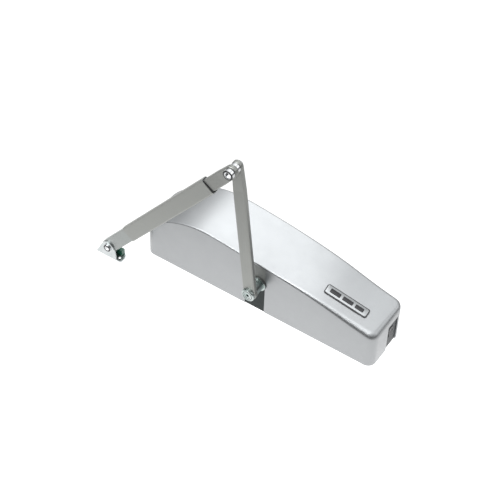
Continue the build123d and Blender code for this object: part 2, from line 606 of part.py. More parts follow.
def make_trimmers():
    return [block(x, x + 7, -22, -15, BOARD_TOP, 22.5) - rod_z(x + 3.5, -18.5, 21.5, 23, 2.2)
            for x in (134.0, 146.0, 158.0)]


def make_mains_block():
    b = block(-250, -214, -38, -20, PLATE_T, 25)
    for k in range(3):
        b -= block(-247.5 + 11.5 * k, -239.5 + 11.5 * k, -38.5, -31, 8, 16)
        b -= rod_z(-243.5 + 11.5 * k, -25, 20, 26, 3.0)
    return b


def make_fuse_holder():
    body = block(-240, -208, 36, 48, PLATE_T, 14)
    return body + rod_x(42, 15, -238, -210, 5.0)


def make_grommet():
    g = rod_z(CABLE_X, CABLE_Y, 0.6, 8.0, GROMMET_R) + rod_z(CABLE_X, CABLE_Y, PLATE_T, 6.0, GROMMET_R + 3)
    return g - rod_z(CABLE_X, CABLE_Y, 0, 9, CABLE_R)


# ---------------------------------------------------------------- spindle and arm
def make_spindle():
    shaft = rod_y(SPINDLE_X, SPINDLE_Z, ARM_Y1, STUB_Y0, SPINDLE_R)
    shaft += rod_y(SPINDLE_X, SPINDLE_Z, STUB_Y0, STUB_Y1, STUB_R)
    ends = shaft.edges().filter_by(GeomType.CIRCLE).group_by(Axis.Y)
    shaft = chamfer(ends[0] + ends[-1], 0.8)
    return shaft - rod_y(SPINDLE_X, SPINDLE_Z, ARM_Y1 - 21, CLAMP_Y1 + 1, CLAMP_R)


def make_rack_pinion():
    return involute_gear(SPINDLE_X, SPINDLE_Z, RACK_TEETH, RACK_MOD, RACK_Y0 - 2, RACK_Y1 + 2, SPINDLE_R,
                         phase=180.0 / RACK_TEETH)


def make_hub():
    """Sleeve between the case and the main arm, with its flange."""
    sleeve = rod_y(SPINDLE_X, SPINDLE_Z, ARM_Y1, FLANGE_Y0, HUB_R)
    flange = rod_y(SPINDLE_X, SPINDLE_Z, FLANGE_Y0, FLANGE_Y1, FLANGE_R)
    flange = chamfer(flange.edges().filter_by(GeomType.CIRCLE).group_by(Axis.Y)[0], 0.8)
    return sleeve + flange - rod_y(SPINDLE_X, SPINDLE_Z, ARM_Y1 - 1, FLANGE_Y1 + 1, SPINDLE_R)


def make_hub_cap():
    """Clamp cap in front of the arm's lower end."""
    cap = rod_y(SPINDLE_X, SPINDLE_Z, CAP_Y0, ARM_Y0, CAP_R)
    cap = chamfer(cap.edges().filter_by(GeomType.CIRCLE).group_by(Axis.Y)[0], 1.4)
    return cap - rod_y(SPINDLE_X, SPINDLE_Z, CAP_Y0 - 1, ARM_Y0 + 1, CLAMP_HEAD_R + 0.1)


def make_clamp_screw():
    head = rod_y(SPINDLE_X, SPINDLE_Z, CLAMP_Y0, CLAMP_SEAT_Y, CLAMP_HEAD_R)
    head = chamfer(head.edges().filter_by(GeomType.CIRCLE).group_by(Axis.Y)[0], 0.5)
    screw = head + rod_y(SPINDLE_X, SPINDLE_Z, CLAMP_SEAT_Y, CLAMP_Y1, CLAMP_R)
    return screw - hex_y(SPINDLE_X, SPINDLE_Z, CLAMP_Y0 - 1, CLAMP_Y0 + 4, CLAMP_HEX)


def soft_edges(plate, radius):
    """Round the outlines of a flat bar's two faces."""
    rims = plate.edges().group_by(Axis.Y)
    return fillet(rims[0] + rims[-1], radius)


def lobed_bar(lobe_r, lobe_at, taper_at, far_at, width):
    """Outline along local X: a bar that narrows to a round lobe at one end."""
    lobe = (Pos(lobe_at, 0) * Circle(lobe_r)).edges()
    shoulder = (Pos(taper_at, 0) * Circle(width / 2)).edges()
    straight = Pos((taper_at + far_at) / 2, 0) * Rectangle(abs(far_at - taper_at), width)
    return make_hull(lobe + shoulder) + straight


def make_main_arm():
    """Flat arm: round eye on the spindle, lobe under the elbow."""
    angle = math.degrees(math.atan2(ELBOW_Z - SPINDLE_Z, ELBOW_X - SPINDLE_X))
    outline = lobed_bar(ARM_LOBE_R, MAIN_L, ARM_TAPER_AT, 0.0, ARM_W) + Circle(ARM_EYE_R)
    neck = [v for v in outline.vertices() if 2.0 < v.X < ARM_EYE_R and abs(v.Y) > ARM_W / 2 - 0.1]
    outline = fillet(neck, 9.0)
    bar = prism_y(Pos(SPINDLE_X, SPINDLE_Z) * Rot(0, 0, angle) * outline, ARM_Y0, ARM_Y1)
    bar = soft_edges(bar, ARM_EDGE)
    bar -= rod_y(SPINDLE_X, SPINDLE_Z, ARM_Y0 - 1, ARM_Y1 + 1, CLAMP_R)
    bar -= rod_y(SPINDLE_X, SPINDLE_Z, ARM_Y0 - 1, CLAMP_SEAT_Y, CLAMP_HEAD_R)
    return bar - rod_y(ELBOW_X, ELBOW_Z, ARM_Y0 - 1, ARM_Y1 + 1, ELBOW_R)


def make_elbow_pin():
    pin = rod_y(ELBOW_X, ELBOW_Z, ELBOW_HEAD_Y1, ELBOW_PIN_Y1, ELBOW_R)
    head = rod_y(ELBOW_X, ELBOW_Z, ELBOW_HEAD_Y0, ELBOW_HEAD_Y1, ELBOW_HEAD_R)
    head = chamfer(head.edges().filter_by(GeomType.CIRCLE).group_by(Axis.Y)[0], 1.2)
    return pin + head - hex_y(ELBOW_X, ELBOW_Z, ELBOW_HEAD_Y0 - 1, ELBOW_HEAD_Y0 + 5, ELBOW_HEX)


def make_elbow_collar():
    """Bright spacer between the main arm and the forearm's bar."""
    collar = rod_y(ELBOW_X, ELBOW_Z, BAR_Y1 + 0.3, ARM_Y0, ELBOW_HEAD_R)
    collar -= rod_y(ELBOW_X, ELBOW_Z, BAR_Y1 - 1, ARM_Y0 + 1, ELBOW_R)
    return chamfer(collar.edges().filter_by(GeomType.CIRCLE).group_by(SortBy.RADIUS)[-1], 0.8)


def make_elbow_nut():
    """Low domed nut behind the main arm."""
    nut = rod_y(ELBOW_X, ELBOW_Z, ARM_Y1, ELBOW_NUT_Y1, ELBOW_NUT_R)
    nut = fillet(nut.edges().filter_by(GeomType.CIRCLE).group_by(Axis.Y)[-1], 1.5)
    return nut - rod_y(ELBOW_X, ELBOW_Z, ARM_Y1 - 1, ELBOW_PIN_Y1 + 0.1, ELBOW_R)


def fore_place():
    return bar_place(ELBOW_X, ELBOW_Z, FOOT_X, FOOT_Z)


def make_inner_bar():
    """Flat bar from the elbow that slides in the forearm tube."""
    angle = math.degrees(math.atan2(FOOT_Z - ELBOW_Z, FOOT_X - ELBOW_X))
    outline = lobed_bar(BAR_LOBE_R, 0.0, BAR_TAPER_AT, BAR_END, BAR_W)
    bar = prism_y(Pos(ELBOW_X, ELBOW_Z) * Rot(0, 0, angle) * outline, BAR_Y0, BAR_Y1)
    bar = soft_edges(bar, BAR_EDGE)
    return bar - rod_y(ELBOW_X, ELBOW_Z, BAR_Y0 - 1, BAR_Y1 + 1, ELBOW_R + RUN)


def make_tube():
    y_mid, depth = (TUBE_Y0 + TUBE_Y1) / 2, TUBE_Y1 - TUBE_Y0
    centre, length = (TUBE_START + TUBE_END) / 2, TUBE_END - TUBE_START
    tube = Pos(centre, y_mid, 0) * Box(length, depth, TUBE_W)
    tube = fillet(tube.edges().filter_by(Axis.X), TUBE_EDGE)
    tube -= Pos(TUBE_START - 1.0, y_mid, 0) * Rot(0, TUBE_SLANT, 0) * Pos(-20, 0, 0) * Box(40, 40, 80)
    hollow = Box(length + 40, BAR_Y1 - BAR_Y0 + 2 * TUBE_GAP, BAR_W + 2 * TUBE_GAP)
    hollow = fillet(hollow.edges().filter_by(Axis.X), BAR_EDGE)
    tube -= Pos(centre, y_mid, 0) * hollow
    for s in TUBE_SCREWS_AT:
        tube -= rod_y(s, 0, TUBE_Y1 - 3, TUBE_Y1 + 1, TUBE_SCREW_R)
    return fore_place() * tube


def make_tube_screws():
    screws = []
    for s in TUBE_SCREWS_AT:
        shank = rod_y(s, 0, TUBE_Y1 - 2, TUBE_Y1, TUBE_SCREW_R)
        head = rod_y(s, 0, TUBE_Y1, TUBE_Y1 + 1.8, TUBE_SCREW_HEAD_R)
        screws.append(fore_place() * (shank + head))
    return join(screws)


def make_end_fitting():
    """Plug in the tube's end that carries the foot pin's eye."""
    y_mid = (BAR_Y0 + BAR_Y1) / 2
    plug = Box(FIT_PLUG, BAR_Y1 - BAR_Y0, BAR_W)
    plug = Pos(TUBE_END - FIT_PLUG / 2, y_mid, 0) * fillet(plug.edges().filter_by(Axis.X), BAR_EDGE)
    neck = Pos((TUBE_END + FORE_L) / 2, y_mid, 0) * Box(FORE_L - TUBE_END, FIT_T, FIT_W)
    neck = fillet(neck.edges().filter_by(Axis.X), 2.5)
    eye = Pos(FORE_L, y_mid, 0) * Rot(90, 0, 0) * Cylinder(FIT_W / 2, FIT_T)
    fitting = fore_place() * (plug + neck + eye)
    return fitting - rod_y(FOOT_X, FOOT_Z, y_mid - FIT_T, y_mid + FIT_T, PIN_R + RUN)


def make_foot_pin():
    pin = rod_y(FOOT_X, FOOT_Z, PIN_HEAD_Y0, FOOT_Y0, PIN_HEAD_R)
    pin = chamfer(pin.edges().filter_by(GeomType.CIRCLE).group_by(Axis.Y)[0], 0.8)
    pin += rod_y(FOOT_X, FOOT_Z, FOOT_Y0, FOOT_Y1, PIN_R)
    return pin - hex_y(FOOT_X, FOOT_Z, PIN_HEAD_Y0 - 1, PIN_HEAD_Y0 + 2.2, FOOT_HEX)


def make_foot_bracket():
    """Door or frame bracket: base with a rounded end, front cheek and rear lug for the pin."""
    base = block(FOOT_X0, FOOT_X1, FOOT_Y0, FOOT_Y1, 0, FOOT_T)
    uprights = base.edges().filter_by(Axis.Z)
    base = fillet(uprights.group_by(Axis.X)[-1].sort_by(Axis.Y)[-1], 15.0)
    base = fillet(base.edges().filter_by(Axis.Z).sort_by(Axis.X)[-1], 4.0)
    strip = Pos((FOOT_X0 + CHEEK_X1) / 2, FOOT_T / 2) * Rectangle(CHEEK_X1 - FOOT_X0, FOOT_T)
    cheek = make_hull(strip.edges() + (Pos(FOOT_X, FOOT_Z) * Circle(CHEEK_R)).edges())
    cheek = prism_y(cheek, FOOT_Y0, FOOT_Y0 + CHEEK_T)
    lug = block(FOOT_X - LUG_R, FOOT_X + LUG_R, FOOT_Y1 - LUG_T, FOOT_Y1, 0, FOOT_Z)
    lug += rod_y(FOOT_X, FOOT_Z, FOOT_Y1 - LUG_T, FOOT_Y1, LUG_R)
    bracket = base + cheek + lug
    for s in (-1, 1):
        bracket -= rod_z(FOOT_HOLE_X + s * FOOT_HOLES / 2, FOOT_HOLE_Y, -1, FOOT_T + 1, FOOT_HOLE_R)
    return bracket - rod_y(FOOT_X, FOOT_Z, FOOT_Y0 - 1, FOOT_Y1 + 1, PIN_R)


def make_foot_block():
    """Plastic stop on the base: clears the fitting's eye, and its neck at the folded limit."""
    stop = block(STOP_X0, STOP_X1, STOP_Y0, STOP_Y1, FOOT_T, STOP_TOP)
    stop -= rod_y(FOOT_X, FOOT_Z, STOP_Y0 - 1, STOP_Y1 + 1, FIT_W / 2 + STOP_GAP)
    neck_angle = math.degrees(math.atan2(ELBOW_Z - FOOT_Z, ELBOW_X - FOOT_X)) - FOOT_FOLD
    neck = Pos(40, 0, 0) * Box(80, 20, FIT_W + 2 * STOP_GAP)
    return stop - Pos(FOOT_X, (STOP_Y0 + STOP_Y1) / 2, FOOT_Z) * Rot(0, -neck_angle, 0) * neck


# ---------------------------------------------------------------- output
PARTS = {
    "cover": make_cover(),
    "name_plate": make_name_plate(),
    "base_plate": make_base_plate(),
    "front_insert_upper": make_slot_insert(-1, True),
    "front_insert_lower": make_slot_insert(-1, False),
    "rear_inserts": join([make_slot_insert(1, True), make_slot_insert(1, False)]),
    "switch_panel": make_end_panel(1, True),
    "blank_panel": make_end_panel(-1, False),
    "panel_brackets": join(make_panel_bracket(1) + make_panel_bracket(-1)),
    "rocker_housing": make_rocker_housing(),
    "mode_rocker": make_rocker(),
    "rocker_marks": make_rocker_marks(),
    "cover_catches": make_catches(),
    "gearbox_body": make_gearbox_body(),
    "gearbox_lid": make_gearbox_lid(),
    "drive_screws": join(make_lid_screws() + make_motor_screws()),
    "spindle_bearings": join([make_bearing(y0, y1, SPINDLE_X, SPINDLE_R + RUN, BEARING_R)
                              for y0, y1 in SPINDLE_BEARINGS]),
    "rear_support": make_rear_support(),
    "intermediate_axle": rod_y(INTER_X, SPINDLE_Z, LID_Y0 + 2, BACK_Y1 - 1.5, AXLE_R),
    "intermediate_gear": make_intermediate(),
    "motor_can": make_motor_can(),
    "motor_magnets": make_motor_magnets(),
    "motor_bell": make_motor_bell(),
    "motor_bearings": join([make_bearing(BACK_Y0, BACK_Y1 + 3, MOTOR_X, ROTOR_R + RUN, NOSE_BEARING_R),
                            make_bearing(CAN_Y1, BELL_Y1, MOTOR_X, ROTOR_R + RUN, BELL_BEARING_R)]),
    "encoder_cap": make_encoder_cap(),
    "motor_cradle": make_motor_cradle(),
    "rotor_shaft": rod_y(MOTOR_X, SPINDLE_Z, STAGE1_Y0 - 1, 46.0, ROTOR_R),
    "rotor_core": make_motor_core(),
    "rotor_pinion": make_rotor_pinion(),
    "rack": make_rack(),
    "closing_spring": make_spring(),
    "spring_guide": make_spring_guide(),
    "preload_ring": make_preload_ring(),
    "transformer_core": make_transformer_core(),
    "transformer_coil": make_transformer_coil(),
    "transformer_feet": make_transformer_feet(),
    "control_board": make_board(),
    "stand_offs": make_stand_offs(),
    "board_parts": join(make_capacitors() + make_relays() + make_chips() + make_trimmers()),
    "heat_sink": make_heat_sink(),
    "terminals": make_terminals(),
    "mains_block": join([make_mains_block(), make_fuse_holder()]),
    "cable_grommet": make_grommet(),
    "spindle": make_spindle(),
    "output_gear": make_output_gear(),
    "rack_pinion": make_rack_pinion(),
    "arm_hub": make_hub(),
    "hub_cap": make_hub_cap(),
    "clamp_screw": make_clamp_screw(),
    "main_arm": make_main_arm(),
    "elbow_pin": make_elbow_pin(),
    "elbow_collar": make_elbow_collar(),
    "elbow_nut": make_elbow_nut(),
    "inner_bar": make_inner_bar(),
    "forearm_tube": make_tube(),
    "tube_screws": make_tube_screws(),
    "end_fitting": make_end_fitting(),
    "foot_pin": make_foot_pin(),
    "foot_block": make_foot_block(),
    "foot_bracket": make_foot_bracket(),
}

for part_name, part_shape in PARTS.items():
    save(part_shape, part_name)
    print(part_name, len(part_shape.solids()))
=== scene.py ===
import json
import math

import bmesh
import bpy
from mathutils import Matrix, Vector
from mathutils.bvhtree import BVHTree


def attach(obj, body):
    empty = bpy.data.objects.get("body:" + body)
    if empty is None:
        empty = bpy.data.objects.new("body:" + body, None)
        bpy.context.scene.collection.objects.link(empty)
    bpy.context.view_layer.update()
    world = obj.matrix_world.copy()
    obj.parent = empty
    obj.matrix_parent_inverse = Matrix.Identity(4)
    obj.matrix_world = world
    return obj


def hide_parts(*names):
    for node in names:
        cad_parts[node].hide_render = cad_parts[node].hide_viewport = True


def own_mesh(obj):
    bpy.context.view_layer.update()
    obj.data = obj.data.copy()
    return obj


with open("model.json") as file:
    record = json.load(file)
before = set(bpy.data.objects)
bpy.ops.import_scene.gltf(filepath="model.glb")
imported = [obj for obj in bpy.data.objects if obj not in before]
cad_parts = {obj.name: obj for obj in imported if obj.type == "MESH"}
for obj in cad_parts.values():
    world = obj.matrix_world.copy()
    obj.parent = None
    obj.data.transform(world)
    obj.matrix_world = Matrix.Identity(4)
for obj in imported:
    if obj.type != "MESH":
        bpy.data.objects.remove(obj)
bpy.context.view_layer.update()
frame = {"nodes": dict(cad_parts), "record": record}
NODES = frame["nodes"]

MM = 0.001


# ---------------------------------------------------------------- node helpers
def new_material(name):
    """An empty material with one Principled shader on its surface."""
    mat = bpy.data.materials.new(name)
    mat.use_nodes = True
    tree = mat.node_tree
    tree.nodes.clear()
    out = tree.nodes.new("ShaderNodeOutputMaterial")
    bsdf = tree.nodes.new("ShaderNodeBsdfPrincipled")
    tree.links.new(bsdf.outputs["BSDF"], out.inputs["Surface"])
    return mat, tree, bsdf


def coords(tree, scale=(1, 1, 1)):
    """Object coordinates in metres, stretched by a scale."""
    tex = tree.nodes.new("ShaderNodeTexCoord")
    mapping = tree.nodes.new("ShaderNodeMapping")
    mapping.inputs["Scale"].default_value = scale
    tree.links.new(tex.outputs["Object"], mapping.inputs["Vector"])
    return mapping.outputs["Vector"]


def noise(tree, vector, scale, detail=3.0, roughness=0.55):
    """Soft noise between 0 and 1."""
    node = tree.nodes.new("ShaderNodeTexNoise")
    node.inputs["Scale"].default_value = scale
    node.inputs["Detail"].default_value = detail
    node.inputs["Roughness"].default_value = roughness
    tree.links.new(vector, node.inputs["Vector"])
    return node.outputs["Fac"]


def remap(tree, value, low, high, from_low=0.3, from_high=0.7):
    """Carries a value from one range to another. By default it comes from where noise mostly lies."""
    node = tree.nodes.new("ShaderNodeMapRange")
    node.inputs["From Min"].default_value = from_low
    node.inputs["From Max"].default_value = from_high
    node.inputs["To Min"].default_value = low
    node.inputs["To Max"].default_value = high
    tree.links.new(value, node.inputs["Value"])
    return node.outputs["Result"]


def mix_colors(tree, factor, a, b):
    """Goes from colour a to colour b by a factor; each is a tuple or a socket."""
    node = tree.nodes.new("ShaderNodeMix")
    node.data_type = "RGBA"
    tree.links.new(factor, node.inputs["Factor"])
    for socket, colour in (("A", a), ("B", b)):
        target = [s for s in node.inputs if s.name == socket and s.type == "RGBA"][0]
        if isinstance(colour, (tuple, list)):
            target.default_value = (*colour, 1.0)
        else:
            tree.links.new(colour, target)
    return [s for s in node.outputs if s.type == "RGBA"][0]


def bump(tree, bsdf, height, strength, distance):
    """Relief on the shader's normal, with its depth in metres."""
    node = tree.nodes.new("ShaderNodeBump")
    node.inputs["Strength"].default_value = strength
    node.inputs["Distance"].default_value = distance
    tree.links.new(height, node.inputs["Height"])
    tree.links.new(node.outputs["Normal"], bsdf.inputs["Normal"])


def math_node(tree, operation, *values):
    """A sum, product or the like of numbers and sockets."""
    node = tree.nodes.new("ShaderNodeMath")
    node.operation = operation
    for socket, value in zip(node.inputs, values):
        if isinstance(value, (int, float)):
            socket.default_value = value
        else:
            tree.links.new(value, socket)
    return node.outputs["Value"]


def add_weighted(tree, a, b, weight):
    """a plus a share of b."""
    return math_node(tree, "MULTIPLY_ADD", b, weight, a)


def grey_ramp(tree, value, levels, interpolation="LINEAR"):
    """Grey levels along a value, each as (position, level)."""
    ramp = tree.nodes.new("ShaderNodeValToRGB")
    ramp.color_ramp.interpolation = interpolation
    stops = ramp.color_ramp.elements
    for stop, (at, level) in ((stops[0], levels[0]), (stops[1], levels[-1])):
        stop.position = at
        stop.color = (level, level, level, 1.0)
    for at, level in levels[1:-1]:
        stops.new(at).color = (level, level, level, 1.0)
    tree.links.new(value, ramp.inputs["Fac"])
    return ramp.outputs["Color"]


def shade(colour, share):
    """A colour made lighter or darker, held below white."""
    return tuple(min(1.0, v * share) for v in colour)


def edge_wear(tree, colour, lighter, amount=0.5):
    """Convex edges show a little lighter, as handled paint and metal do."""
    geo = tree.nodes.new("ShaderNodeNewGeometry")
    fac = remap(tree, geo.outputs["Pointiness"], 0.0, amount, from_low=0.52, from_high=0.62)
    return mix_colors(tree, fac, colour, lighter)


# ---------------------------------------------------------------- materials
def metal_paint(name, colour):
    """Silver paint: metal flakes under a satin top coat, with faint handling marks."""
    mat, tree, bsdf = new_material(name)
    roughness = 0.36
    vec = coords(tree)
    flakes = noise(tree, vec, scale=2600.0, detail=1.0)
    cloud = noise(tree, vec, scale=9.0, detail=4.0)
    tone = mix_colors(tree, remap(tree, cloud, 0.0, 1.0), shade(colour, 0.975), shade(colour, 1.02))
    sparkle = remap(tree, flakes, 0.0, 0.3, from_low=0.45, from_high=0.8)
    tone = mix_colors(tree, sparkle, tone, shade(colour, 1.18))
    tone = edge_wear(tree, tone, shade(colour, 1.15), 0.45)
    tree.links.new(tone, bsdf.inputs["Base Color"])
    smudge = noise(tree, vec, scale=38.0, detail=5.0, roughness=0.65)
    tree.links.new(remap(tree, smudge, roughness - 0.035, roughness + 0.05), bsdf.inputs["Roughness"])
    bsdf.inputs["Metallic"].default_value = 0.9
    bsdf.inputs["Coat Weight"].default_value = 0.18
    bsdf.inputs["Coat Roughness"].default_value = 0.22
    peel = noise(tree, vec, scale=420.0, detail=2.0)
    bump(tree, bsdf, add_weighted(tree, peel, flakes, 0.25), strength=0.10, distance=0.00025)
    return mat


def brushed(name, colour, along, roughness, metallic=1.0, depth=0.25):
    """Metal with drawn or brushed lines along the object's X, Y or Z."""
    mat, tree, bsdf = new_material(name)
    across_scale, along_scale = 60.0, 1.2
    vec = coords(tree, tuple(along_scale if axis == along else across_scale for axis in "XYZ"))
    lines = noise(tree, vec, scale=22.0, detail=4.0, roughness=0.7)
    cloud = noise(tree, coords(tree), scale=30.0, detail=3.0)
    streaks = remap(tree, lines, 0.0, 1.0, from_low=0.35, from_high=0.65)
    tone = mix_colors(tree, streaks, shade(colour, 0.9), shade(colour, 1.08))
    tone = mix_colors(tree, remap(tree, cloud, 0.0, 0.35), tone, shade(colour, 0.88))
    tone = edge_wear(tree, tone, shade(colour, 1.2), 0.5)
    tree.links.new(tone, bsdf.inputs["Base Color"])
    tree.links.new(remap(tree, lines, roughness - 0.05, roughness + 0.1), bsdf.inputs["Roughness"])
    bsdf.inputs["Metallic"].default_value = metallic
    bump(tree, bsdf, lines, strength=depth, distance=0.0002)
    return mat


def plated(name, colour, tint, roughness):
    """Zinc plate: blotchy passivation over bright steel."""
    mat, tree, bsdf = new_material(name)
    vec = coords(tree)
    blotch = noise(tree, vec, scale=70.0, detail=5.0, roughness=0.6)
    fine = noise(tree, vec, scale=900.0, detail=2.0)
    patches = remap(tree, blotch, 0.0, 1.0, from_low=0.38, from_high=0.62)
    tone = mix_colors(tree, patches, colour, tint)
    tone = edge_wear(tree, tone, shade(colour, 1.12), 0.5)
    tree.links.new(tone, bsdf.inputs["Base Color"])
    tree.links.new(remap(tree, blotch, roughness, roughness + 0.16), bsdf.inputs["Roughness"])
    bsdf.inputs["Metallic"].default_value = 1.0
    bump(tree, bsdf, add_weighted(tree, fine, blotch, 0.5), strength=0.12, distance=0.0002)
    return mat


def polished(name, colour, roughness):
    """Bright bare metal with hardly any texture."""
    mat, tree, bsdf = new_material(name)
    vec = coords(tree)
    swirl = noise(tree, vec, scale=240.0, detail=3.0)
    tree.links.new(mix_colors(tree, remap(tree, swirl, 0.0, 1.0), shade(colour, 0.94), colour),
                   bsdf.inputs["Base Color"])
    tree.links.new(remap(tree, swirl, roughness - 0.03, roughness + 0.05), bsdf.inputs["Roughness"])
    bsdf.inputs["Metallic"].default_value = 1.0
    bump(tree, bsdf, swirl, strength=0.04, distance=0.0002)
    return mat


def cast(name, colour, roughness=0.55):
    """Sand-like skin of a die casting."""
    mat, tree, bsdf = new_material(name)
    vec = coords(tree)
    grit = noise(tree, vec, scale=700.0, detail=4.0, roughness=0.7)
    cloud = noise(tree, vec, scale=25.0, detail=4.0)
    tone = mix_colors(tree, remap(tree, cloud, 0.0, 1.0), shade(colour, 0.85), shade(colour, 1.08))
    tone = edge_wear(tree, tone, shade(colour, 1.3), 0.6)
    tree.links.new(tone, bsdf.inputs["Base Color"])
    tree.links.new(remap(tree, grit, roughness - 0.1, roughness + 0.12), bsdf.inputs["Roughness"])
    bsdf.inputs["Metallic"].default_value = 0.85
    bump(tree, bsdf, add_weighted(tree, grit, cloud, 0.4), strength=0.3, distance=0.0004)
    return mat


def plastic(name, colour, roughness=0.45, depth=0.2, specular=0.5):
    """Moulded plastic with a fine spark-eroded texture."""
    mat, tree, bsdf = new_material(name)
    vec = coords(tree)
    grain = noise(tree, vec, scale=420.0, detail=3.0, roughness=0.6)
    cloud = noise(tree, vec, scale=16.0, detail=4.0)
    tone = mix_colors(tree, remap(tree, cloud, 0.0, 1.0), shade(colour, 0.92), shade(colour, 1.07))
    tone = edge_wear(tree, tone, tuple(min(1.0, v * 1.15 + 0.02) for v in colour), 0.5)
    tree.links.new(tone, bsdf.inputs["Base Color"])
    tree.links.new(remap(tree, grain, roughness - 0.06, roughness + 0.08), bsdf.inputs["Roughness"])
    bsdf.inputs["Specular IOR Level"].default_value = specular
    bump(tree, bsdf, grain, strength=depth, distance=0.0002)
    return mat


def board_material(name):
    """Solder-resist green with copper tracks showing through."""
    mat, tree, bsdf = new_material(name)
    vec = coords(tree, (240.0, 240.0, 1.0))
    tracks = tree.nodes.new("ShaderNodeTexBrick")
    tracks.inputs["Scale"].default_value = 1.0
    tracks.inputs["Mortar Size"].default_value = 0.045
    for socket, level in (("Color1", 0.0), ("Color2", 0.0), ("Mortar", 1.0)):
        tracks.inputs[socket].default_value = (level, level, level, 1.0)
    tree.links.new(vec, tracks.inputs["Vector"])
    cloud = noise(tree, coords(tree), scale=30.0, detail=3.0)
    tone = mix_colors(tree, tracks.outputs["Color"], (0.012, 0.15, 0.06), (0.06, 0.3, 0.12))
    tone = mix_colors(tree, remap(tree, cloud, 0.0, 0.5), tone, (0.01, 0.12, 0.05))
    tree.links.new(tone, bsdf.inputs["Base Color"])
    bsdf.inputs["Roughness"].default_value = 0.3
    bump(tree, bsdf, tracks.outputs["Fac"], strength=0.2, distance=0.0001)
    return mat


FLOOR_GLOW, FLOOR_EDGE = 1.55, 0.655      # light at the object, and its share further out
FLOOR_LEVELS = ((0.03, 1.0), (0.17, FLOOR_EDGE), (0.60, FLOOR_EDGE), (0.99, 0.06))
FLOOR_CENTRE, FLOOR_STRETCH, FLOOR_REACH = (-0.03, 0.10, 0.0), (0.45, 1.0, 1.0), 2.2


def floor_material(name):
    """White table that glows most along the object and darkens outside the view."""
    mat, tree, bsdf = new_material(name)
    tex = tree.nodes.new("ShaderNodeTexCoord")
    mapping = tree.nodes.new("ShaderNodeMapping")
    mapping.inputs["Scale"].default_value = FLOOR_STRETCH
    mapping.inputs["Location"].default_value = FLOOR_CENTRE
    tree.links.new(tex.outputs["Object"], mapping.inputs["Vector"])
    length = tree.nodes.new("ShaderNodeVectorMath")
    length.operation = "LENGTH"
    tree.links.new(mapping.outputs["Vector"], length.inputs[0])
    distance = remap(tree, length.outputs["Value"], 0.0, 1.0, from_low=0.0, from_high=FLOOR_REACH)
    glow = grey_ramp(tree, distance, FLOOR_LEVELS, "EASE")
    bsdf.inputs["Base Color"].default_value = (0.04, 0.04, 0.04, 1.0)
    bsdf.inputs["Roughness"].default_value = 0.9
    bsdf.inputs["Specular IOR Level"].default_value = 0.0
    # the far table is dark only in reflections: seen directly it stays pale
    path = tree.nodes.new("ShaderNodeLightPath")
    pale = math_node(tree, "MULTIPLY", path.outputs["Is Camera Ray"], FLOOR_EDGE)
    tree.links.new(math_node(tree, "MAXIMUM", glow, pale), bsdf.inputs["Emission Color"])
    bsdf.inputs["Emission Strength"].default_value = FLOOR_GLOW
    return mat


MATERIALS = {
    "silver_case": metal_paint("silver_case", (0.300, 0.308, 0.315)),
    "mark_plate": brushed("mark_plate", (0.32, 0.33, 0.335), "X", 0.3),
    "zinc_sheet": plated("zinc_sheet", (0.50, 0.52, 0.525), (0.42, 0.46, 0.46), 0.26),
    "grey_insert": plastic("grey_insert", (0.19, 0.198, 0.19), specular=0.3),
    # dark_insert: near-black with a green tint, painted shade of the slot's lower opening
    "dark_insert": plastic("dark_insert", (0.004, 0.010, 0.010), 0.5, specular=0.22),
    "dark_panel": plastic("dark_panel", (0.018, 0.022, 0.024), 0.42, specular=0.32),
    "black_gloss": plastic("black_gloss", (0.012, 0.012, 0.014), 0.34, depth=0.05, specular=0.35),
    "black_matte": plastic("black_matte", (0.02, 0.02, 0.022), 0.5),
    "pale_marks": plastic("pale_marks", (0.16, 0.17, 0.17), 0.5, depth=0.05),
    "cast_aluminium": cast("cast_aluminium", (0.42, 0.43, 0.44)),
    "steel_small": brushed("steel_small", (0.42, 0.43, 0.45), "Y", 0.28),
    "bearing_steel": polished("bearing_steel", (0.6, 0.61, 0.63), 0.18),
    "gear_steel": brushed("gear_steel", (0.28, 0.28, 0.29), "Y", 0.3),
    "motor_shell": brushed("motor_shell", (0.16, 0.165, 0.175), "Y", 0.36),
    "dark_iron": cast("dark_iron", (0.06, 0.06, 0.065), 0.6),
    "copper_winding": brushed("copper_winding", (0.5, 0.19, 0.07), "Y", 0.3),
    "spring_steel": polished("spring_steel", (0.16, 0.17, 0.18), 0.26),
    "nylon": plastic("nylon", (0.68, 0.68, 0.62), 0.4),
    "board_green": board_material("board_green"),
    "sink_aluminium": brushed("sink_aluminium", (0.6, 0.61, 0.62), "Z", 0.3),
    "terminal_grey": plastic("terminal_grey", (0.05, 0.17, 0.08), 0.4),
    "soft_rubber": plastic("soft_rubber", (0.018, 0.018, 0.018), 0.7),
    "spindle_steel": plated("spindle_steel", (0.42, 0.445, 0.44), (0.30, 0.37, 0.355), 0.22),
    "arm_paint": brushed("arm_paint", (0.262, 0.268, 0.256), "Z", 0.42, metallic=0.88, depth=0.12),
    "bright_chrome": polished("bright_chrome", (0.62, 0.63, 0.64), 0.1),
    "green_stop": plastic("green_stop", (0.005, 0.075, 0.045), 0.35),
}


def set_material(obj, mat):
    """One material on the whole object."""
    if obj.material_slots:
        for place in obj.material_slots:
            place.material = mat
    else:
        obj.data.materials.append(mat)


node_slots = {subpart["node"]: subpart["material_slot"] for subpart in frame["record"]["subparts"]}
for node_name, node in NODES.items():
    set_material(node, MATERIALS[node_slots[node_name]])
set_material(NODES["end_fitting"], metal_paint("fitting_metal", (0.270, 0.285, 0.278)))


# ---------------------------------------------------------------- modelled pieces
# all sizes from here to the floor are in mm; pivots are (x, z), since their pins lie along Y
ELBOW = (-31.0, 393.5)
FOOT = (-319.3, 25.8)
SPINDLE = (6.0, 77.0)
SHARP_EDGE = 32.0      # degrees between two faces


